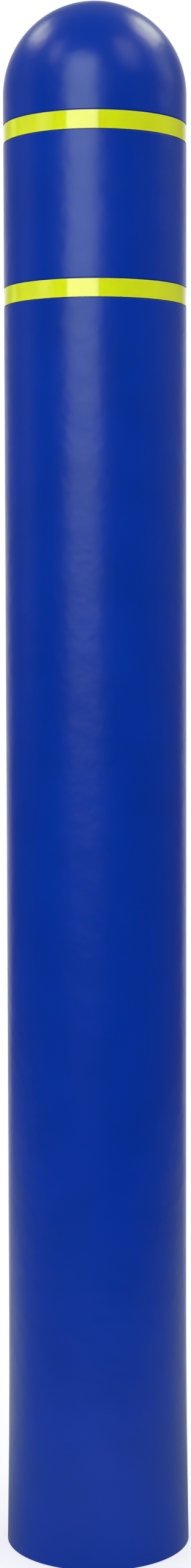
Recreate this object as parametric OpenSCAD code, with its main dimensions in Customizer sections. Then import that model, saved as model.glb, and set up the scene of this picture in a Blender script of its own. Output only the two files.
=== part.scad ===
// Bollard cover sleeve.
// A one-piece moulded tube with a domed top slips over a steel post. Two
// reflective tapes lie in shallow seats below the dome, and two wraps of foam
// tape inside take up the play between the sleeve and the post.
// Millimetres. The origin is the centre of the mouth, on the ground, +Z up.

/* [Post] */
// Outside diameter of the steel post that the sleeve covers
post_d = 168.3; // [100:0.1:280]
// Gap left between the foam and the post, at radius
post_gap = 0.15; // [0.05:0.05:0.8]

/* [Sleeve] */
// Overall height, from the mouth to the top of the dome
sleeve_h = 1524; // [900:1:1900]
// Wall thickness of the moulding
wall_t = 3.2; // [2:0.1:7]
// Height over which the foot opens out towards the mouth
flare_h = 260; // [120:1:400]
// How far the mouth stands out from the straight wall
flare_out = 2.5; // [0.5:0.1:6]
// Rounding of the two edges of the mouth
rim_r = 0.6; // [0.2:0.1:0.9]

/* [Reflective bands] */
// Width of the reflective tape
tape_w = 17; // [10:0.5:40]
// Thickness of the reflective tape
tape_t = 0.4; // [0.2:0.05:0.8]
// Length over which the end of the tape lies on its beginning
tape_lap = 25; // [10:1:60]
// Drop from the foot of the dome to the middle of the upper band
upper_band_drop = 38; // [25:1:100]
// Distance between the middles of the two bands
band_pitch = 156; // [60:1:300]
// Depth of the seat that is moulded for the tape
seat_depth = 0.8; // [0.5:0.05:1.2]
// Gap between each edge of the tape and the lip of its seat
seat_gap = 1; // [0.2:0.1:2]

/* [Foam wraps] */
// Thickness of the foam, squeezed between the straight wall and the post
foam_t = 1.1; // [0.8:0.05:8]
// Width of the foam tape
foam_w = 25; // [12:1:60]
// Gap left where the two ends of a wrap meet
foam_end_gap = 5; // [1:0.5:20]
// Height of the lower wrap's underside above the mouth
lower_foam_z = 40; // [15:1:150]
// Drop from the foot of the dome to the top of the upper wrap
upper_foam_drop = 75; // [5:1:300]
// Thickness of the adhesive layer behind the tape and the foam
glue_t = 0.3; // [0.2:0.05:0.4]

/* [Hidden] */

// Fineness of the round stretches
$fn = 180;
flare_steps = 16;
rim_steps = 6;
// How far a cut runs past the face that it opens
overrun = 1;

// Radii, built outwards from the post
foam_bore_r = post_d / 2 + post_gap;
bore_r = foam_bore_r + foam_t + glue_t;
sleeve_r = bore_r + wall_t;
// Height of the dome's foot, where the straight tube ends
dome_z = sleeve_h - sleeve_r;
// A rim fillet takes at most a third of the wall
rim_wall_share = 1 / 3;
rim_fillet = min(rim_r, wall_t * rim_wall_share);
// Heights of the middles of the bands and of the undersides of the wraps
upper_band_z = dome_z - upper_band_drop;
lower_band_z = upper_band_z - band_pitch;
upper_foam_z = dome_z - upper_foam_drop - foam_w;
// The floor of a tape seat, and the inside of the tape that is glued to it
seat_r = sleeve_r - seat_depth;
tape_r = seat_r + glue_t;
// Full turn, and the side of the part where the ends of tapes and wraps meet
turn = 360;
back_angle = 90;

sleeve_colour = "#12309c";
tape_colour = "#d7e41c";
foam_colour = "#2b2c2e";

// How far the foot stands out from the straight wall at height z
function flare(z) = z < flare_h ? flare_out * pow(1 - z / flare_h, 2) : 0;

// Inside and outside radius of the moulding at height z, below the dome
function inside_at(z) = bore_r + flare(z);
function outside_at(z) = sleeve_r + flare(z);

// Points of an arc about centre, from angle first to angle last
function arc(centre, r, first, last, steps) =
    [for (i = [0 : steps])
        let (a = first + (last - first) * i / steps)
        centre + r * [cos(a), sin(a)]];

// Heights at which the outline of the flared foot turns
function foot_heights() = [for (i = [1 : flare_steps]) flare_h * i / flare_steps];

// Angle that a length along a circle of radius r takes up
function angle_of(len, r) = len / r * 180 / PI;

// Outline of the flared foot: rounded rim, outside wall, inside wall
module foot_outline() {
    inner = [inside_at(rim_fillet) + rim_fillet, rim_fillet];
    outer = [outside_at(rim_fillet) - rim_fillet, rim_fillet];
    zs = foot_heights();
    polygon(concat(
        arc(inner, rim_fillet, 180, 270, rim_steps),
        arc(outer, rim_fillet, 270, 360, rim_steps),
        [for (z = zs) [outside_at(z), z]],
        [for (i = [len(zs) - 1 : -1 : 0]) [inside_at(zs[i]), zs[i]]]
    ));
}

// Outline of the straight tube between the foot and the dome
module tube_outline() {
    translate([bore_r, flare_h]) square([wall_t, dome_z - flare_h]);
}

// Outline of the dome: a quarter of a ring
module dome_outline() {
    translate([0, dome_z]) intersection() {
        difference() {
            circle(r = sleeve_r);
            circle(r = bore_r);
        }
        square(sleeve_r);
    }
}

// Outline of the seat for a tape whose middle is at height z
module seat_outline(z) {
    seat_w = tape_w + 2 * seat_gap;
    translate([seat_r, z - seat_w / 2]) square([seat_depth + overrun, seat_w]);
}

// The moulding, turned from one outline
module sleeve_shell() {
    color(sleeve_colour) rotate_extrude() difference() {
        union() {
            foot_outline();
            tube_outline();
            dome_outline();
        }
        seat_outline(upper_band_z);
        seat_outline(lower_band_z);
    }
}

// Outline of a wound tape from above: one layer all round, two where its ends lap at the back
module tape_outline() {
    half_lap = angle_of(tape_lap, tape_r) / 2;
    wedge_r = 2 * tape_r;
    difference() {
        union() {
            circle(r = tape_r + tape_t);
            intersection() {
                circle(r = tape_r + 2 * tape_t);
                polygon(concat([[0, 0]], arc([0, 0], wedge_r, back_angle - half_lap, back_angle + half_lap, 1)));
            }
        }
        circle(r = tape_r);
    }
}

// A tape in its seat, whose middle is at height z
module reflective_band(z) {
    color(tape_colour) translate([0, 0, z - tape_w / 2]) linear_extrude(tape_w) tape_outline();
}

module upper_reflective_band() {
    reflective_band(upper_band_z);
}

module lower_reflective_band() {
    reflective_band(lower_band_z);
}

// A wrap of foam tape from height z upwards, filling the space between wall and post
module foam_wrap(z) {
    gap_angle = angle_of(foam_end_gap, foam_bore_r);
    top = z + foam_w;
    color(foam_colour) rotate(back_angle + gap_angle / 2)
        rotate_extrude(angle = turn - gap_angle) polygon([
            [foam_bore_r, z],
            [inside_at(z) - glue_t, z],
            [inside_at(top) - glue_t, top],
            [foam_bore_r, top]
        ]);
}

module upper_foam_wrap() {
    foam_wrap(upper_foam_z);
}

module lower_foam_wrap() {
    foam_wrap(lower_foam_z);
}

sleeve_shell();
upper_reflective_band();
lower_reflective_band();
upper_foam_wrap();
lower_foam_wrap();
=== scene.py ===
"""Looks of a bollard cover sleeve.

A blue moulded sleeve with a domed top, two reflective tapes wound in shallow seats
below the dome, and two wraps of foam tape inside that hold the sleeve on its post.
Lengths are in metres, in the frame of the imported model: +Z is up along the sleeve
and -Y is its front.
"""
import logging
import math
from collections.abc import Callable, Sequence
from dataclasses import dataclass
from enum import Enum

import bpy
from mathutils import Matrix, Vector, noise


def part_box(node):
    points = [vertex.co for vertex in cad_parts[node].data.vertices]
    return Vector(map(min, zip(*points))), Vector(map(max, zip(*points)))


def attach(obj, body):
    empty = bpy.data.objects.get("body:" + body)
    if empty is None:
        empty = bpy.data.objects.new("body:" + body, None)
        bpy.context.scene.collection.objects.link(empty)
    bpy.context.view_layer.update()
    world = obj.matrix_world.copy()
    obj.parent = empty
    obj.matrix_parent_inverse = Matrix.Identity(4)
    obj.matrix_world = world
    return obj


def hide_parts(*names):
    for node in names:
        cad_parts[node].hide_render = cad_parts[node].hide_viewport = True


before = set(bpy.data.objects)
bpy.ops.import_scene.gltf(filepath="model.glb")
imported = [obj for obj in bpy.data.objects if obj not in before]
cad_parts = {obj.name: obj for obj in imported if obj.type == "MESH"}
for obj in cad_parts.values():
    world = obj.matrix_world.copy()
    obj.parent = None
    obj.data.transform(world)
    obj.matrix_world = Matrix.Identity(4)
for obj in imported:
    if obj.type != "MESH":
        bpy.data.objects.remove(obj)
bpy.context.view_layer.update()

MM = 0.001
BODY = "root"
FULL_TURN = 2 * math.pi
# Direction of the back of the sleeve, where the ends of tapes and foam meet
BACK_ANGLE = math.pi / 2
UP = Vector((0, 0, 1))

Point = tuple[float, float]
Span = tuple[float, float]
# Azimuth and elevation in degrees, as seen from the dome
Heading = tuple[float, float]
Place = tuple[float, float, float]
Colour = tuple[float, float, float]

BLACK = (0.0, 0.0, 0.0, 1.0)
WHITE = (1.0, 1.0, 1.0, 1.0)

log = logging.getLogger("bollard_sleeve")


class Ray(Enum):
    """Kinds of light ray that the studio tells apart."""

    CAMERA = "Is Camera Ray"
    DIFFUSE = "Is Diffuse Ray"
    GLOSSY = "Is Glossy Ray"
    TRANSMISSION = "Is Transmission Ray"


def arc(centre: Point, radius: float, first: float, last: float, steps: int) -> list[Point]:
    """Gives the points of an arc in an outline.

    Args:
        centre: Middle of the arc, as radius and height.
        radius: Radius of the arc.
        first: Angle of the first point in degrees, from the outward direction.
        last: Angle of the last point in degrees.
        steps: Number of chords.

    Returns:
        The points from first to last.
    """
    angles = [math.radians(first + (last - first) * i / steps) for i in range(steps + 1)]
    return [(centre[0] + radius * math.cos(a), centre[1] + radius * math.sin(a)) for a in angles]


def turned(radius: float, angle: float, z: float) -> Vector:
    """Gives a point of an outline, turned about the axis of the sleeve."""
    return Vector((radius * math.cos(angle), radius * math.sin(angle), z))


def steps_between(first: float, last: float, longest: float) -> list[float]:
    """Gives even steps from first to last, both included, none above the longest one.

    Args:
        first: First value.
        last: Last value.
        longest: Longest step allowed.

    Returns:
        The values from first to last.
    """
    count = max(1, math.ceil(abs(last - first) / longest))
    return [first + (last - first) * i / count for i in range(count + 1)]


def smooth_step(value: float) -> float:
    """Eases a value from 0 to 1, and holds it at either end."""
    held = min(1.0, max(0.0, value))
    return held * held * (3 - 2 * held)


def grey(tone: float) -> Colour:
    """Gives the colour of a grey tone."""
    return (tone, tone, tone)


def make_piece(
    name: str, points: Sequence[Vector], faces: Sequence[Sequence[int]], crease: float = 30.0
) -> bpy.types.Object:
    """Makes a smooth-shaded mesh object and puts it in the scene.

    Args:
        name: Name of the piece.
        points: Vertices.
        faces: Faces as vertex numbers, counter-clockwise from outside.
        crease: Angle in degrees above which an edge stays sharp.

    Returns:
        The new object.
    """
    mesh = bpy.data.meshes.new(name)
    mesh.from_pydata(points, [], faces)
    mesh.polygons.foreach_set("use_smooth", [True] * len(mesh.polygons))
    mesh.set_sharp_from_angle(angle=math.radians(crease))
    mesh.update()
    piece = bpy.data.objects.new(name, mesh)
    bpy.context.scene.collection.objects.link(piece)
    return piece


def seat_piece(piece: bpy.types.Object, node: str, material: bpy.types.Material) -> None:
    """Gives a piece its finish and lets it stand for a node of the frame.

    Args:
        piece: The piece.
        node: Node that it replaces.
        material: Finish of the piece.
    """
    piece.data.materials.append(material)
    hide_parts(node)
    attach(piece, BODY)
    log.info("%s: %d faces, stands for %s", piece.name, len(piece.data.polygons), node)


def collect(name: str, pieces: Sequence[bpy.types.Object]) -> bpy.types.Collection:
    """Gathers pieces for lamps that shine on them alone.

    Args:
        name: Name of the collection.
        pieces: The pieces, which also stay where they are.

    Returns:
        The new collection.
    """
    collection = bpy.data.collections.new(name)
    for piece in pieces:
        collection.objects.link(piece)
    return collection


@dataclass(frozen=True)
class Wave:
    """One slow wave in the wall of the moulding, with its lobes round the sleeve."""

    depth: float
    lobes: int
    # Height in which the lobes make one turn about the axis, negative for the other way
    pitch: float
    phase: float

    def at(self, angle: float, z: float) -> float:
        """Gives how far the wave moves the wall outwards at an angle and height."""
        return self.depth * math.sin(self.lobes * angle + FULL_TURN * z / self.pitch + self.phase)


@dataclass(frozen=True)
class OutOfRound:
    """How far the cooled moulding strays from a true circle."""

    waves: tuple[Wave, ...] = (
        Wave(depth=0.060 * MM, lobes=2, pitch=1.9, phase=0.4),
        Wave(depth=0.035 * MM, lobes=3, pitch=0.83, phase=2.1),
        Wave(depth=0.020 * MM, lobes=5, pitch=-0.47, phase=4.0),
        Wave(depth=0.012 * MM, lobes=8, pitch=0.29, phase=1.3),
    )

    def at(self, angle: float, z: float) -> float:
        """Gives how far the wall lies outside its true radius at an angle and height."""
        return sum(wave.at(angle, z) for wave in self.waves)


class NodeTree:
    """A node tree with short calls for the nodes that finishes and studio share."""

    def __init__(self, tree: bpy.types.NodeTree) -> None:
        """Wraps a node tree."""
        self.nodes = tree.nodes
        self.links = tree.links

    def feed(self, socket: bpy.types.NodeSocket, value: object) -> None:
        """Links an input to a socket, or sets it to a plain value.

        Args:
            socket: The input.
            value: Socket or plain value.
        """
        if isinstance(value, bpy.types.NodeSocket):
            self.links.new(value, socket)
        else:
            socket.default_value = value

    def add(self, kind: str, **values: object) -> bpy.types.Node:
        """Adds a node.

        Args:
            kind: Blender's name of the node type.
            values: Values or sockets, by input name with underscores for spaces.

        Returns:
            The new node.
        """
        node = self.nodes.new(kind)
        for name, value in values.items():
            self.feed(node.inputs[name.replace("_", " ")], value)
        return node

    def place(self) -> bpy.types.NodeSocket:
        """Gives the place on the object, in metres."""
        return self.add("ShaderNodeTexCoord").outputs["Object"]

    def grain(
        self, place: bpy.types.NodeSocket, scale: float, detail: float = 2.0
    ) -> bpy.types.NodeSocket:
        """Gives a soft noise.

        Args:
            place: Place on the object.
            scale: Features per metre.
            detail: Number of finer layers.

        Returns:
            A value about 0.5.
        """
        return self.add("ShaderNodeTexNoise", Vector=place, Scale=scale, Detail=detail).outputs["Fac"]

    def cells(self, place: bpy.types.NodeSocket, scale: float) -> bpy.types.NodeSocket:
        """Gives the distance from the middle of the nearest cell, at a number of cells per metre."""
        return self.add("ShaderNodeTexVoronoi", Vector=place, Scale=scale).outputs["Distance"]

    def spread(self, value: bpy.types.NodeSocket, low: float, high: float) -> bpy.types.NodeSocket:
        """Maps a value of 0 to 1 to a range."""
        return self.add("ShaderNodeMapRange", Value=value, To_Min=low, To_Max=high).outputs["Result"]

    def gather(self, value: bpy.types.NodeSocket, low: float, high: float) -> bpy.types.NodeSocket:
        """Maps a range to 0 to 1, and holds the value at either end."""
        node = self.add("ShaderNodeMapRange", Value=value, From_Min=low, From_Max=high)
        return node.outputs["Result"]

    def operate(self, kind: str, operation: str, values: Sequence[object]) -> bpy.types.Node:
        """Adds a node that calculates.

        Args:
            kind: Blender's name of the node type.
            operation: Blender's name of the operation.
            values: Operands, as plain values or sockets.

        Returns:
            The new node.
        """
        node = self.nodes.new(kind)
        node.operation = operation
        for socket, value in zip(node.inputs, values):
            self.feed(socket, value)
        return node

    def calculate(self, operation: str, *values: object) -> bpy.types.NodeSocket:
        """Gives the result of an operation on one or two numbers."""
        return self.operate("ShaderNodeMath", operation, values).outputs["Value"]

    def calculate_vector(self, operation: str, *values: object) -> bpy.types.Node:
        """Gives the node of an operation on one or two vectors, with outputs Vector and Value."""
        return self.operate("ShaderNodeVectorMath", operation, values)

    def ramp(
        self, value: bpy.types.NodeSocket, stops: Sequence[float], colours: Sequence[Colour]
    ) -> bpy.types.NodeSocket:
        """Turns a value into a colour.

        Args:
            value: Value from 0 to 1.
            stops: Value at each stop, in order.
            colours: Colour at each stop.

        Returns:
            The colour.
        """
        node = self.add("ShaderNodeValToRGB", Fac=value)
        elements = node.color_ramp.elements
        while len(elements) < len(stops):
            elements.new(1.0)
        for element, stop, colour in zip(elements, stops, colours):
            element.position = stop
            element.color = (*colour, 1.0)
        return node.outputs["Color"]

    def tone_ramp(
        self, value: bpy.types.NodeSocket, stops: Sequence[float], tones: Sequence[float]
    ) -> bpy.types.NodeSocket:
        """Turns a value into a grey tone, as ramp does into a colour."""
        return self.ramp(value, stops, [grey(tone) for tone in tones])

    def bump(
        self, height: bpy.types.NodeSocket, depth: float, under: bpy.types.NodeSocket | None = None
    ) -> bpy.types.NodeSocket:
        """Turns a height into a normal.

        Args:
            height: Height from 0 to 1.
            depth: Real depth of the relief in metres.
            under: Normal that this relief lies on.

        Returns:
            The normal.
        """
        node = self.add("ShaderNodeBump", Height=height, Distance=depth, Strength=1.0)
        if under is not None:
            self.links.new(under, node.inputs["Normal"])
        return node.outputs["Normal"]

    def is_ray(self, *kinds: Ray) -> bpy.types.NodeSocket:
        """Tells rays of some kinds from the others.

        Args:
            kinds: The kinds to find.

        Returns:
            1 for rays of any of these kinds and 0 for others.
        """
        path = self.nodes.new("ShaderNodeLightPath")
        found = path.outputs[kinds[0].value]
        for kind in kinds[1:]:
            found = self.calculate("MAXIMUM", found, path.outputs[kind.value])
        return found

    def mix(
        self, share: bpy.types.NodeSocket, first: bpy.types.NodeSocket, second: bpy.types.NodeSocket
    ) -> bpy.types.NodeSocket:
        """Mixes two shaders.

        Args:
            share: Share of the second one.
            first: Shader where the share is 0.
            second: Shader where the share is 1.

        Returns:
            The mixed shader.
        """
        node = self.nodes.new("ShaderNodeMixShader")
        for socket, source in zip(node.inputs, (share, first, second)):
            self.links.new(source, socket)
        return node.outputs["Shader"]


class Surface(NodeTree):
    """A material whose nodes end in one Principled shader."""

    def __init__(self, name: str) -> None:
        """Makes an empty material.

        Args:
            name: Name of the material.
        """
        self.material = bpy.data.materials.new(name)
        self.material.use_nodes = True
        super().__init__(self.material.node_tree)
        self.shader = self.nodes["Principled BSDF"]

    def set(self, **values: object) -> None:
        """Sets inputs of the shader, as add does, to plain values or sockets."""
        for name, value in values.items():
            self.feed(self.shader.inputs[name.replace("_", " ")], value)


@dataclass(frozen=True)
class MouldedPlastic:
    """Satin polyethylene, coloured right through, with a faint orange peel."""

    deep: Colour = (0.0012, 0.0295, 0.368)
    pale: Colour = (0.0016, 0.0330, 0.410)
    ior: float = 1.5
    roughness: Span = (0.27, 0.33)
    pigment_scale: float = 14.0
    pigment_detail: float = 5.0
    pigment_stops: Span = (0.35, 0.65)
    swell_scale: float = 42.0
    swell_depth: float = 0.6 * MM
    gloss_detail: float = 6.0
    peel_scale: float = 620.0
    peel_depth: float = 0.012 * MM

    def material(self) -> bpy.types.Material:
        """Makes the material.

        Returns:
            The material.
        """
        surface = Surface("moulded_plastic")
        place = surface.place()
        pigment = surface.grain(place, self.pigment_scale, self.pigment_detail)
        gloss = surface.grain(place, self.swell_scale, self.gloss_detail)
        swell = surface.bump(surface.grain(place, self.swell_scale), self.swell_depth)
        peel = surface.grain(place, self.peel_scale)
        surface.set(
            Base_Color=surface.ramp(pigment, self.pigment_stops, (self.deep, self.pale)),
            Roughness=surface.spread(gloss, *self.roughness),
            Normal=surface.bump(peel, self.peel_depth, under=swell),
            IOR=self.ior,
        )
        return surface.material


@dataclass(frozen=True)
class ReflectiveFilm:
    """Yellow-green film over glass beads: a clear, sharp gloss over a fine grain."""

    deep: Colour = (0.63, 0.71, 0.006)
    pale: Colour = (0.77, 0.86, 0.010)
    ior: float = 1.95
    # The gloss holds green back, which would run past white in the highlight
    gloss_tint: Colour = (1.0, 0.65, 1.0)
    roughness: Span = (0.05, 0.09)
    bead_scale: float = 3400.0
    bead_depth: float = 0.002 * MM
    # Most that a bead adds to the shade of the streaks
    bead_shade: float = 0.5
    streak_scale: float = 28.0
    shade_stops: Span = (0.35, 0.95)
    gloss_detail: float = 5.0

    def material(self) -> bpy.types.Material:
        """Makes the material.

        Returns:
            The material.
        """
        surface = Surface("reflective_film")
        place = surface.place()
        beads = surface.cells(place, self.bead_scale)
        streaks = surface.grain(place, self.streak_scale)
        gloss = surface.grain(place, self.streak_scale, self.gloss_detail)
        shade = surface.calculate("ADD", surface.spread(beads, 0.0, self.bead_shade), streaks)
        surface.set(
            Base_Color=surface.ramp(shade, self.shade_stops, (self.deep, self.pale)),
            Roughness=surface.spread(gloss, *self.roughness),
            Normal=surface.bump(beads, self.bead_depth),
            IOR=self.ior,
            Specular_Tint=(*self.gloss_tint, 1.0),
        )
        return surface.material


@dataclass(frozen=True)
class CellFoam:
    """Dark closed-cell foam tape with open cells on its cut faces."""

    deep: Colour = (0.010, 0.0105, 0.0115)
    pale: Colour = (0.030, 0.031, 0.033)
    roughness: Span = (0.82, 0.96)
    cell_scale: float = 1700.0
    cell_depth: float = 0.12 * MM
    shade_stops: Span = (0.10, 0.70)

    def material(self) -> bpy.types.Material:
        """Makes the material.

        Returns:
            The material.
        """
        surface = Surface("cell_foam")
        cells = surface.cells(surface.place(), self.cell_scale)
        surface.set(
            Base_Color=surface.ramp(cells, self.shade_stops, (self.deep, self.pale)),
            Roughness=surface.spread(cells, *self.roughness),
            Normal=surface.bump(cells, self.cell_depth),
        )
        return surface.material


@dataclass
class SleeveShell:
    """The moulding: tube and dome in one wall, with two seats for the tapes."""

    out_of_round: OutOfRound
    node: str = "sleeve_shell"
    band_nodes: tuple[str, ...] = ("upper_reflective_band", "lower_reflective_band")
    slot: str = "sleeve_plastic"
    wall: float = 3.2 * MM
    flare_height: float = 260 * MM
    flare_out: float = 2.5 * MM
    rim_radius: float = 0.6 * MM
    seat_depth: float = 0.8 * MM
    seat_gap: float = 1.0 * MM
    lip_radius: float = 0.3 * MM
    corner_radius: float = 0.2 * MM
    turn_steps: int = 192
    dome_steps: int = 48
    inner_dome_steps: int = 24
    fillet_steps: int = 5
    # Longest steps in height on the wall outside, on the foot outside and on the wall inside
    wall_ring: float = 22 * MM
    foot_ring: float = 11 * MM
    inner_ring: float = 44 * MM
    # Distance from a fillet to the ring that keeps the wall beside it flat in shading
    hold: float = 0.4 * MM
    crease: float = 50.0

    def __post_init__(self) -> None:
        """Takes the overall sizes and the places of the tapes from the frame."""
        low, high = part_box(self.node)
        self.height = high.z - low.z
        self.radius = high.x - self.flare(self.rim_radius)
        self.dome_z = self.height - self.radius
        boxes = [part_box(node) for node in self.band_nodes]
        self.seats = [(upper.z + self.seat_gap, lower.z - self.seat_gap) for lower, upper in boxes]

    def flare(self, z: float) -> float:
        """Gives how far the foot stands out from the straight wall at a height."""
        return self.flare_out * (1 - z / self.flare_height) ** 2 if z < self.flare_height else 0.0

    def bore_at(self, z: float) -> float:
        """Gives the radius of the inside of the tube at a height."""
        return self.radius - self.wall + self.flare(z)

    def lip(self, edge: float, side: int) -> list[Point]:
        """Gives the outline of one lip of a seat, from the wall to the floor of the seat.

        Args:
            edge: Height of the lip's flat face.
            side: 1 for the upper lip and -1 for the lower one.

        Returns:
            The points, from the wall inwards.
        """
        lip, corner, steps = self.lip_radius, self.corner_radius, self.fillet_steps
        floor = self.radius - self.seat_depth
        rounded = arc((self.radius - lip, edge + side * lip), lip, 0, -90 * side, steps)
        hollow = arc((floor + corner, edge - side * corner), corner, 90 * side, 180 * side, steps)
        hold_wall = (self.radius, edge + side * (lip + self.hold))
        hold_floor = (floor, edge - side * (corner + self.hold))
        return [hold_wall, *rounded, *hollow, hold_floor]

    def outside(self) -> list[Point]:
        """Gives the outline of the outside.

        Returns:
            The points, from the top of the dome to the flared foot.
        """
        outline = arc((0, self.dome_z), self.radius, 90, 0, self.dome_steps)
        start = self.dome_z
        for top, bottom in self.seats:
            upper, lower = self.lip(top, 1), self.lip(bottom, -1)
            above = steps_between(start, upper[0][1], self.wall_ring)[1:-1]
            outline += [(self.radius, z) for z in above]
            outline += upper + lower[::-1]
            start = lower[0][1]
        below = steps_between(start, self.flare_height, self.wall_ring)[1:]
        outline += [(self.radius, z) for z in below]
        foot = steps_between(self.flare_height, self.rim_radius + self.hold, self.foot_ring)[1:]
        return outline + [(self.radius + self.flare(z), z) for z in foot]

    def rim(self) -> list[Point]:
        """Gives the outline of the trimmed edge of the mouth.

        Returns:
            The points, from outside to inside.
        """
        fillet = self.rim_radius
        outer = self.radius + self.flare(fillet)
        inner = outer - self.wall
        return (
            arc((outer - fillet, fillet), fillet, 0, -90, self.fillet_steps)
            + [(outer - fillet - self.hold, 0), (inner + fillet + self.hold, 0)]
            + arc((inner + fillet, fillet), fillet, -90, -180, self.fillet_steps)
        )

    def inside(self) -> list[Point]:
        """Gives the outline of the inside.

        Returns:
            The points, from the foot to the top of the dome.
        """
        foot = steps_between(self.rim_radius + self.hold, self.flare_height, self.wall_ring)
        tube = steps_between(self.flare_height, self.dome_z, self.inner_ring)[1:-1]
        dome = arc((0, self.dome_z), self.radius - self.wall, 0, 90, self.inner_dome_steps)
        return [(self.bore_at(z), z) for z in foot + tube] + dome

    def build(self) -> bpy.types.Object:
        """Turns the outline about the axis of the sleeve.

        Returns:
            The moulding.
        """
        top, *rings, ceiling = self.outside() + self.rim() + self.inside()
        points = [UP * top[1], UP * ceiling[1]]
        ring_starts = []
        for radius, z in rings:
            ring_starts.append(len(points))
            # The poles stay put, so the waves fade out towards the axis
            fade = min(1.0, radius / self.radius)
            for step in range(self.turn_steps):
                angle = FULL_TURN * step / self.turn_steps
                points.append(turned(radius + fade * self.out_of_round.at(angle, z), angle, z))
        faces = []
        for step in range(self.turn_steps):
            first = [start + step for start in ring_starts]
            second = [start + (step + 1) % self.turn_steps for start in ring_starts]
            faces.append((0, first[0], second[0]))
            faces += [(a, b, d, c) for a, b, c, d in zip(first, first[1:], second, second[1:])]
            faces.append((1, second[-1], first[-1]))
        return make_piece("moulded_sleeve", points, faces, self.crease)

    def dress(self, piece: bpy.types.Object, finish: MouldedPlastic) -> None:
        """Gives the moulding its finish."""
        seat_piece(piece, self.node, finish.material())


def wind(
    name: str, stations: Sequence[tuple[float, Sequence[Point]]], crease: float
) -> bpy.types.Object:
    """Winds a closed section round the axis of the sleeve, with a cut face at both ends.

    Args:
        name: Name of the piece.
        stations: Angle and section at each step, the section counter-clockwise in radius and height.
        crease: Angle in degrees above which an edge stays sharp.

    Returns:
        The new object.
    """
    count = len(stations[0][1])
    points = [turned(radius, angle, z) for angle, section in stations for radius, z in section]
    faces: list[Sequence[int]] = [tuple(range(count))]
    for station in range(len(stations) - 1):
        near, far = station * count, (station + 1) * count
        for j in range(count):
            k = (j + 1) % count
            faces.append((near + j, far + j, far + k, near + k))
    last = (len(stations) - 1) * count
    faces.append(tuple(last + j for j in reversed(range(count))))
    return make_piece(name, points, faces, crease)


def rounded_section(corners: Sequence[Point], radius: float, steps: int, hold: float) -> list[Point]:
    """Gives a four-cornered section with rounded corners.

    Args:
        corners: Inner bottom, outer bottom, outer top and inner top corner.
        radius: Radius of the corners.
        steps: Number of chords at each corner.
        hold: Distance from a corner to the point that keeps its upright face flat in shading.

    Returns:
        The points, counter-clockwise in radius and height.
    """
    section = []
    inward = ((1, 1), (-1, 1), (-1, -1), (1, -1))
    for (x, z), (dx, dz), first in zip(corners, inward, (180, 270, 0, 90)):
        rounded = arc((x + dx * radius, z + dz * radius), radius, first, first + 90, steps)
        flat = (x, z + dz * (radius + hold))
        # The way round meets the upright face before the inner bottom and outer top corners only
        section += [flat, *rounded] if dx == dz else [*rounded, flat]
    return section


@dataclass
class ReflectiveBand:
    """A tape in its seat, whose end lies on its beginning at the back."""

    name: str
    node: str
    out_of_round: OutOfRound
    slot: str = "reflective_tape"
    thickness: float = 0.4 * MM
    lap: float = 25 * MM
    # Length over which the tape climbs onto its own beginning
    climb: float = 7 * MM
    # Gap of the adhesive between the two layers of the lap
    lap_gap: float = 0.02 * MM
    edge_radius: float = 0.08 * MM
    edge_steps: int = 2
    edge_hold: float = 0.15 * MM
    turn_steps: int = 240
    crease: float = 60.0

    def __post_init__(self) -> None:
        """Takes the place of the tape from the frame."""
        low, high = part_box(self.node)
        self.bottom, self.top = low.z, high.z
        self.inner = high.x - self.thickness

    def lift(self, travel: float) -> float:
        """Gives how far the tape lies off its seat after a length of travel round the sleeve."""
        to_lap = travel - FULL_TURN * self.inner
        return (self.thickness + self.lap_gap) * smooth_step(1 + to_lap / self.climb)

    def section(self, angle: float, travel: float) -> list[Point]:
        """Gives the tape's section at one place of its way round.

        Args:
            angle: Angle about the axis.
            travel: Length from the tape's beginning.

        Returns:
            The points, counter-clockwise in radius and height.
        """
        middle = (self.bottom + self.top) / 2
        inner = self.inner + self.lift(travel) + self.out_of_round.at(angle, middle)
        outer = inner + self.thickness
        corners = ((inner, self.bottom), (outer, self.bottom), (outer, self.top), (inner, self.top))
        return rounded_section(corners, self.edge_radius, self.edge_steps, self.edge_hold)

    def build(self) -> bpy.types.Object:
        """Winds the tape once round and over its beginning.

        Returns:
            The tape.
        """
        turn = FULL_TURN * self.inner
        start = BACK_ANGLE - self.lap / self.inner / 2
        stations = []
        for travel in steps_between(0, turn + self.lap, turn / self.turn_steps):
            angle = start + travel / self.inner
            stations.append((angle, self.section(angle, travel)))
        return wind(self.name, stations, self.crease)

    def dress(self, piece: bpy.types.Object, material: bpy.types.Material) -> None:
        """Gives the tape its finish."""
        seat_piece(piece, self.node, material)


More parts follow.
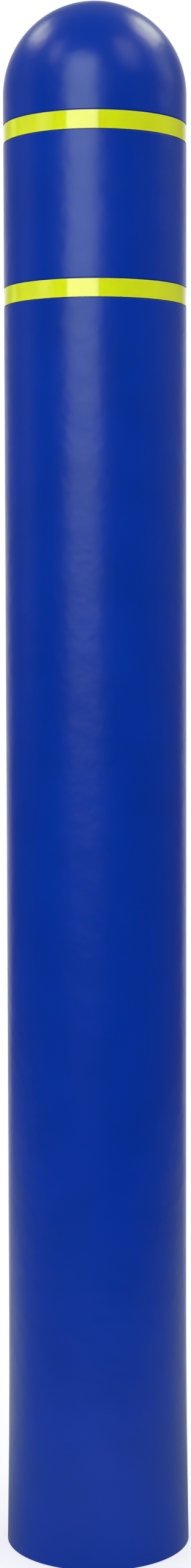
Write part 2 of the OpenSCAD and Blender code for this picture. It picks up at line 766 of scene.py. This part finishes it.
@dataclass
class FoamWrap:
    """A wrap of foam tape inside the sleeve, with a gap between its ends at the back."""

    name: str
    node: str
    # Radius of the inside of the tube at a height
    wall_at: Callable[[float], float]
    out_of_round: OutOfRound
    slot: str = "foam"
    bore: float = 84.3 * MM
    glue: float = 0.3 * MM
    end_gap: float = 5 * MM
    edge_radius: float = 0.35 * MM
    edge_steps: int = 4
    edge_hold: float = 0.5 * MM
    turn_steps: int = 240
    dimple_scale: float = 160.0
    dimple_depth: float = 0.06 * MM
    crease: float = 70.0
    # The foam is squeezed tight between wall and post
    fill: float = 1.0

    def __post_init__(self) -> None:
        """Takes the place of the wrap from the frame."""
        low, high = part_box(self.node)
        self.bottom, self.top = low.z, high.z

    def section(self, angle: float) -> list[Point]:
        """Gives the foam's section, with the slight unevenness of a cut strip.

        Args:
            angle: Angle about the axis.

        Returns:
            The points, counter-clockwise in radius and height.
        """
        sway = self.out_of_round.at(angle, (self.bottom + self.top) / 2)
        low_wall, high_wall = (self.wall_at(z) - self.glue + sway for z in (self.bottom, self.top))
        bore = self.bore + sway
        foot = ((bore, self.bottom), (low_wall, self.bottom))
        corners = (*foot, (high_wall, self.top), (bore, self.top))
        uneven = []
        for radius, z in rounded_section(corners, self.edge_radius, self.edge_steps, self.edge_hold):
            spot = turned(radius, angle, z) * self.dimple_scale
            uneven.append((radius - self.dimple_depth * abs(noise.noise(spot)), z))
        return uneven

    def build(self) -> bpy.types.Object:
        """Winds the foam round the inside, short of a full turn.

        Returns:
            The strip of foam.
        """
        half_gap = self.end_gap / self.bore / 2
        first, last = BACK_ANGLE + half_gap, BACK_ANGLE + FULL_TURN - half_gap
        angles = steps_between(first, last, FULL_TURN / self.turn_steps)
        return wind(self.name, [(angle, self.section(angle)) for angle in angles], self.crease)

    def dress(self, piece: bpy.types.Object, material: bpy.types.Material) -> None:
        """Gives the foam its finish."""
        seat_piece(piece, self.node, material)


def bearing(azimuth: float, elevation: float = 0.0) -> Vector:
    """Gives a direction away from the sleeve.

    Args:
        azimuth: Degrees from the front, towards the right as the camera sees it.
        elevation: Degrees above the horizon.

    Returns:
        The direction, of length 1.
    """
    a, e = math.radians(azimuth), math.radians(elevation)
    return Vector((math.sin(a) * math.cos(e), -math.cos(a) * math.cos(e), math.sin(e)))


@dataclass(frozen=True)
class Room:
    """White background, and what the gloss shows of it: a dim room with a white backdrop behind."""

    bright_azimuth: float = 165.0
    # Cosine of the angle from the bright side, and tone of the room there
    tones: tuple[Point, ...] = (
        (-0.65, 0.0),
        (-0.25, 0.075),
        (0.10, 0.12),
        (0.35, 0.20),
        (0.55, 0.25),
    )
    # Red, green and blue of a tone of 1 in the room and on the floor
    tint: Colour = (0.92, 1.06, 0.57)
    backdrop_azimuth: float = 180.0
    # Angles from its middle at which the backdrop ends and is whole
    backdrop_angles: Span = (44.0, 20.0)

    @staticmethod
    def cosine(
        tree: NodeTree, direction: bpy.types.NodeSocket, azimuth: float
    ) -> bpy.types.NodeSocket:
        """Gives the cosine of the angle between a direction and an azimuth of the horizon."""
        return tree.calculate_vector("DOT_PRODUCT", direction, bearing(azimuth)).outputs["Value"]

    def tone(self, tree: NodeTree, direction: bpy.types.NodeSocket) -> bpy.types.NodeSocket:
        """Gives the tone of the room in the gloss.

        Args:
            tree: Tree that holds the nodes.
            direction: Direction away from the sleeve.

        Returns:
            The tone.
        """
        share = tree.gather(self.cosine(tree, direction, self.bright_azimuth), -1.0, 1.0)
        # The ramp goes from 0 to 1 where the cosine goes from -1 to 1
        stops = [(cosine + 1) / 2 for cosine, _ in self.tones]
        return tree.tone_ramp(share, stops, [tone for _, tone in self.tones])

    def backdrop(self, tree: NodeTree, direction: bpy.types.NodeSocket) -> bpy.types.NodeSocket:
        """Gives the tone of the white backdrop in the gloss.

        Args:
            tree: Tree that holds the nodes.
            direction: Direction away from the sleeve.

        Returns:
            1 where the backdrop stands and 0 elsewhere.
        """
        end, whole = (math.cos(math.radians(angle)) for angle in self.backdrop_angles)
        return tree.gather(self.cosine(tree, direction, self.backdrop_azimuth), end, whole)

    def colour(
        self, tree: NodeTree, tone: bpy.types.NodeSocket, direction: bpy.types.NodeSocket
    ) -> bpy.types.NodeSocket:
        """Gives the colour that the gloss shows.

        Args:
            tree: Tree that holds the nodes.
            tone: Tone of the room or of the floor.
            direction: Direction away from the sleeve.

        Returns:
            The tone with the room's tint, or white where the backdrop stands.
        """
        tinted = tree.calculate_vector("MULTIPLY", tone, self.tint).outputs["Vector"]
        backdrop = self.backdrop(tree, direction)
        return tree.calculate_vector("MAXIMUM", tinted, backdrop).outputs["Vector"]

    def build(self) -> None:
        """Makes the world: white to the camera, the room to the gloss, and no light of its own."""
        world = bpy.data.worlds.new("studio_world")
        world.use_nodes = True
        bpy.context.scene.world = world
        tree = NodeTree(world.node_tree)
        tree.nodes.clear()
        direction = tree.add("ShaderNodeTexCoord").outputs["Generated"]
        seen_room = self.colour(tree, self.tone(tree, direction), direction)
        unlit, room, white = (
            tree.add("ShaderNodeBackground", Color=colour).outputs["Background"]
            for colour in (BLACK, seen_room, WHITE)
        )
        lit = tree.mix(tree.is_ray(Ray.GLOSSY), unlit, room)
        seen = tree.mix(tree.is_ray(Ray.CAMERA, Ray.TRANSMISSION), lit, white)
        tree.add("ShaderNodeOutputWorld", Surface=seen)


@dataclass(frozen=True)
class PaintedPool:
    """A round pool of painted light on the floor, or of painted shade that darkens such light, which
    only the gloss shows.
    """

    middle: Place
    # Distance from the middle and tone there, going outwards
    tones: tuple[Point, ...]

    def tone(self, tree: NodeTree, place: bpy.types.NodeSocket) -> bpy.types.NodeSocket:
        """Gives the tone of the pool.

        Args:
            tree: Tree that holds the nodes.
            place: Place on the floor.

        Returns:
            The tone there.
        """
        distance = tree.calculate_vector("DISTANCE", place, self.middle).outputs["Value"]
        reach = self.tones[-1][0]
        stops = [from_middle / reach for from_middle, _ in self.tones]
        share = tree.calculate("DIVIDE", distance, reach)
        return tree.tone_ramp(share, stops, [tone for _, tone in self.tones])


@dataclass(frozen=True)
class Floor:
    """A pale floor that reads as white and keeps the sleeve's shadow, with painted pools of light and
    shade that only the gloss shows.
    """

    room: Room
    size: float = 400.0
    drop: float = 0.2 * MM
    # With the even light from above, tone and glow make a white that is not clipped
    white_tone: float = 0.8
    glow: float = 0.586
    # Pools of painted light on the floor, seen only in the gloss, where no lamp shines
    painted_light_pools: tuple[PaintedPool, ...] = (
        PaintedPool(
            middle=(-0.5, 0.7, 0.0),
            tones=((0.45, 0.58), (0.75, 0.35), (1.15, 0.27), (1.40, 0.25), (1.65, 0.15), (2.30, 0.0)),
        ),
        PaintedPool(
            middle=(0.9, 0.5, 0.0),
            tones=((0.30, 0.26), (0.50, 0.22), (0.85, 0.17), (1.10, 0.10), (1.80, 0.0)),
        ),
        PaintedPool(
            middle=(0.0, -0.35, 0.0),
            tones=((0.12, 0.25), (0.32, 0.105), (0.65, 0.0)),
        ),
    )
    # Painted shadow beside the sleeve: the share of the painted pools' light that is left there, where
    # the sleeve stands in its way
    painted_contact_shadow: PaintedPool = PaintedPool(
        middle=(0.0, 0.0, 0.0),
        tones=((0.12, 0.58), (0.35, 0.92), (0.55, 1.0)),
    )
    # Share of the room's tone that the far floor has in the gloss
    far_share: float = 0.4

    def painted_gloss_colour(self, tree: NodeTree, place: bpy.types.NodeSocket) -> bpy.types.NodeSocket:
        """Gives the painted light and shade that the gloss shows on the floor.

        Args:
            tree: Tree that holds the nodes.
            place: Place on the floor.

        Returns:
            The colour there.
        """
        # Painted pools of light, darkened by the painted shadow beside the sleeve
        lit = 0.0
        for pool in self.painted_light_pools:
            lit = tree.calculate("ADD", pool.tone(tree, place), lit)
        lit = tree.calculate("MULTIPLY", lit, self.painted_contact_shadow.tone(tree, place))
        # Far off, the floor runs into the room and the backdrop
        away = tree.calculate_vector("NORMALIZE", place).outputs["Vector"]
        far = tree.calculate("MULTIPLY", self.room.tone(tree, away), self.far_share)
        return self.room.colour(tree, tree.calculate("MAXIMUM", lit, far), away)

    def material(self) -> bpy.types.Material:
        """Makes the material.

        Returns:
            The material, which is clear from below.
        """
        surface = Surface("floor_paper")
        seen = surface.is_ray(Ray.CAMERA, Ray.TRANSMISSION)
        surface.set(
            Base_Color=(*grey(self.white_tone), 1.0),
            Roughness=1.0,
            Specular_IOR_Level=0.0,
            Emission_Color=WHITE,
            Emission_Strength=surface.calculate("MULTIPLY", seen, self.glow),
        )
        paper = surface.shader.outputs["BSDF"]
        side = surface.nodes.new("ShaderNodeNewGeometry")
        # The gloss sees the floor glow with painted pools of light and a painted shadow, though it is
        # no lamp
        colour = self.painted_gloss_colour(surface, side.outputs["Position"])
        glow = surface.add("ShaderNodeEmission", Color=colour).outputs["Emission"]
        dark = surface.add("ShaderNodeEmission", Strength=0.0).outputs["Emission"]
        clear = surface.nodes.new("ShaderNodeBsdfTransparent").outputs["BSDF"]
        # A lamp of its own gives the floor's light to the sleeve
        plain = surface.mix(surface.is_ray(Ray.DIFFUSE), paper, dark)
        lit = surface.mix(surface.is_ray(Ray.GLOSSY), plain, glow)
        whole = surface.mix(side.outputs["Backfacing"], lit, clear)
        surface.links.new(whole, surface.nodes["Material Output"].inputs["Surface"])
        surface.material.cycles.emission_sampling = "NONE"
        return surface.material

    def build(self) -> None:
        """Lays the floor just under the sleeve."""
        half = self.size / 2
        sides = ((-half, -half), (half, -half), (half, half), (-half, half))
        corners = [Vector((x, y, -self.drop)) for x, y in sides]
        floor = make_piece("floor", corners, [range(len(corners))])
        floor.visible_shadow = False
        floor.data.materials.append(self.material())


@dataclass(frozen=True)
class SoftBox:
    """A flat lamp that lights some pieces and, unless it is a fill, shows in their gloss."""

    name: str
    width: float
    length: float
    radiance: float
    colour: Colour = (1.0, 1.0, 1.0)
    in_gloss: bool = True

    def build(self, place: Vector, facing: Vector, along: Vector, lit: bpy.types.Collection) -> None:
        """Puts the lamp in the scene, unseen by the camera.

        Args:
            place: Middle of the lamp.
            facing: Direction that it shines in.
            along: Direction of its length.
            lit: Pieces that it shines on.
        """
        lamp = bpy.data.lights.new(self.name, "AREA")
        lamp.shape = "RECTANGLE"
        lamp.size, lamp.size_y = self.width, self.length
        # A flat lamp's radiance is its power over four times its area
        lamp.energy = 4 * self.width * self.length * self.radiance
        lamp.color = self.colour
        lamp.cycles.use_multiple_importance_sampling = self.in_gloss
        holder = bpy.data.objects.new(self.name, lamp)
        holder.visible_glossy = self.in_gloss
        holder.visible_camera = False
        holder.light_linking.receiver_collection = lit
        back = -facing.normalized()
        side = along.cross(back).normalized()
        turn = Matrix((side, back.cross(side), back)).transposed()
        holder.matrix_world = Matrix.Translation(place) @ turn.to_4x4()
        bpy.context.scene.collection.objects.link(holder)
        log.info("%s: %.2f by %.2f m, radiance %.2f", self.name, self.width, self.length, self.radiance)


@dataclass(frozen=True)
class KeyLayer:
    """One layer of the key panel, from its foot to the panel's top."""

    azimuth: float
    foot: float
    radiance: float


@dataclass(frozen=True)
class DomeLamp:
    """A lamp round the dome, by the directions of its two ends."""

    name: str
    first: Heading
    last: Heading
    width: float
    radiance: float


@dataclass(frozen=True)
class TapeGlow:
    """A pale patch in the gloss of the tapes, soft because its layers differ in width."""

    name: str
    azimuth: float
    widths: tuple[float, ...]
    layer_radiance: float


@dataclass
class Lamps:
    """The lamps of the studio."""

    pieces: Sequence[bpy.types.Object]
    tapes: Sequence[bpy.types.Object]
    # Radiance of the even light from above and of the light that the floor gives back
    sky: float = 0.53
    bounce: float = 0.45
    # A ray meets each layer of a lamp only where the layers stand apart
    layer_gap: float = 0.05
    key_distance: float = 3.0
    key_width: float = 2.1
    key_top: float = 3.94
    key_colour: Colour = (0.87, 1.0, 0.74)
    key_layers: tuple[KeyLayer, ...] = (
        KeyLayer(azimuth=-14.7, foot=0.8, radiance=0.88),
        KeyLayer(azimuth=-15.5, foot=1.2, radiance=0.68),
        KeyLayer(azimuth=-17.5, foot=1.48, radiance=0.66),
        KeyLayer(azimuth=-19.0, foot=2.1, radiance=0.67),
    )
    dome_middle: Place = (0.0, 0.0, 1.46)
    dome_lamp_distance: float = 2.6
    dome_lamps: tuple[DomeLamp, ...] = (
        DomeLamp("left_back_lamp", (-142.0, 42.5), (-100.0, 46.5), width=0.56, radiance=3.47),
        DomeLamp("right_back_lamp", (148.0, 41.5), (102.0, 48.5), width=0.78, radiance=4.0),
        DomeLamp("left_front_lamp", (-55.0, 30.0), (-64.0, 52.0), width=0.45, radiance=1.94),
        DomeLamp("right_front_lamp", (46.0, 29.0), (57.0, 57.0), width=0.90, radiance=1.19),
        DomeLamp("left_side_glow", (-93.0, -15.0), (-95.0, 42.0), width=1.0, radiance=0.14),
        DomeLamp("right_side_glow", (103.0, 11.5), (100.0, 42.0), width=1.1, radiance=0.59),
    )
    # Colour of the lamps round the dome and of those for the tapes
    warm_colour: Colour = (1.0, 0.98, 0.62)
    tape_glow_distance: float = 2.6
    tape_glow_foot: float = 0.9
    tape_glow_top: float = 2.7
    tape_glows: tuple[TapeGlow, ...] = (
        TapeGlow("left_glow", -67.0, (0.35, 0.65, 0.95, 1.25, 1.55), layer_radiance=0.125),
        TapeGlow("left_edge_glow", -122.0, (0.25, 0.5, 0.75), layer_radiance=0.13),
    )
    fill_azimuth: float = 50.0
    fill_distance: float = 1.3
    fill_width: float = 0.8
    fill_top: float = 0.5
    fill_radiance: float = 0.9

    def __post_init__(self) -> None:
        """Gathers the pieces to light, without the floor, whose shadow the lamps would drown."""
        self.lit = collect("lit_pieces", self.pieces)
        self.lit_tapes = collect("lit_tapes", self.tapes)

    def build_even_light(self) -> None:
        """Makes even light from above and from the floor that has no image in the gloss."""
        for name, radiance, turn in (("sky", self.sky, 0.0), ("floor_bounce", self.bounce, math.pi)):
            lamp = bpy.data.lights.new(name, "SUN")
            # The light comes from half of all directions
            lamp.angle = math.pi
            lamp.energy = math.pi * radiance
            lamp.cycles.use_multiple_importance_sampling = False
            holder = bpy.data.objects.new(name, lamp)
            holder.rotation_euler.x = turn
            holder.visible_camera = False
            holder.visible_glossy = False
            bpy.context.scene.collection.objects.link(holder)

    def build_key(self) -> None:
        """Stands the key panel in front on the left, in layers that fade towards its foot."""
        for number, layer in enumerate(self.key_layers):
            out = bearing(layer.azimuth)
            distance = self.key_distance + number * self.layer_gap
            middle = out * distance + UP * ((layer.foot + self.key_top) / 2)
            length = self.key_top - layer.foot
            name = f"key_layer_{number}"
            lamp = SoftBox(name, self.key_width, length, layer.radiance, self.key_colour)
            lamp.build(middle, facing=-out, along=UP, lit=self.lit)

    def build_dome_lamps(self) -> None:
        """Hangs the lamps that show in the dome and along both sides."""
        dome = Vector(self.dome_middle)
        for hung in self.dome_lamps:
            first = dome + bearing(*hung.first) * self.dome_lamp_distance
            last = dome + bearing(*hung.last) * self.dome_lamp_distance
            middle, along = (first + last) / 2, last - first
            lamp = SoftBox(hung.name, hung.width, along.length, hung.radiance, self.warm_colour)
            lamp.build(middle, facing=dome - middle, along=along, lit=self.lit)

    def build_tape_glows(self) -> None:
        """Stands lamps on the left that only the tapes show, as pale patches in their gloss."""
        length = self.tape_glow_top - self.tape_glow_foot
        for glow in self.tape_glows:
            out = bearing(glow.azimuth)
            for number, width in enumerate(glow.widths):
                distance = self.tape_glow_distance + number * self.layer_gap
                middle = out * distance + UP * (self.tape_glow_foot + length / 2)
                name = f"{glow.name}_{number}"
                lamp = SoftBox(name, width, length, glow.layer_radiance, self.warm_colour)
                lamp.build(middle, facing=-out, along=UP, lit=self.lit_tapes)

    def build_fill(self) -> None:
        """Stands a low fill on each side in front, which the gloss does not show."""
        for name, azimuth in (("left_fill", -self.fill_azimuth), ("right_fill", self.fill_azimuth)):
            out = bearing(azimuth)
            middle = out * self.fill_distance + UP * (self.fill_top / 2)
            lamp = SoftBox(name, self.fill_width, self.fill_top, self.fill_radiance, in_gloss=False)
            lamp.build(middle, facing=-out, along=UP, lit=self.lit)


@dataclass(frozen=True)
class PhotoCamera:
    """A camera at the photograph's viewing angle."""

    place: Place = (-0.0009, -2.4361, 0.9477)
    # Tilt from straight down, and roll about the line of sight, in degrees
    tilt: float = 85.718
    roll: float = -0.1432
    # Lens and sensor in millimetres
    lens: float = 56.54
    sensor: float = 36.0

    def build(self) -> None:
        """Puts the camera in the scene."""
        data = bpy.data.cameras.new("photo_camera")
        data.lens, data.sensor_width = self.lens, self.sensor
        camera = bpy.data.objects.new("photo_camera", data)
        tilt = Matrix.Rotation(math.radians(self.tilt), 3, "X")
        roll = Matrix.Rotation(math.radians(self.roll), 3, "Z")
        camera.rotation_euler = (tilt @ roll).to_euler()
        camera.location = self.place
        bpy.context.scene.collection.objects.link(camera)
        bpy.context.scene.camera = camera


def main() -> None:
    """Builds the sleeve, its tapes and foam, and the studio round it."""
    logging.basicConfig(level=logging.INFO, format="%(name)s %(message)s")
    bpy.context.scene.view_settings.view_transform = "Standard"
    PhotoCamera().build()

    out_of_round = OutOfRound()
    shell = SleeveShell(out_of_round)
    moulding = shell.build()
    shell.dress(moulding, MouldedPlastic())
    pieces = [moulding]

    film = ReflectiveFilm().material()
    tapes = []
    for end in ("upper", "lower"):
        band = ReflectiveBand(f"{end}_tape", f"{end}_reflective_band", out_of_round)
        tape = band.build()
        band.dress(tape, film)
        tapes.append(tape)
    pieces += tapes

    foam = CellFoam().material()
    for end in ("upper", "lower"):
        wrap = FoamWrap(f"{end}_foam_tape", f"{end}_foam_wrap", shell.bore_at, out_of_round)
        strip = wrap.build()
        wrap.dress(strip, foam)
        pieces.append(strip)

    room = Room()
    Floor(room).build()
    room.build()
    lamps = Lamps(pieces, tapes)
    lamps.build_even_light()
    lamps.build_key()
    lamps.build_dome_lamps()
    lamps.build_tape_glows()
    lamps.build_fill()


if __name__ == "__main__":
    main()
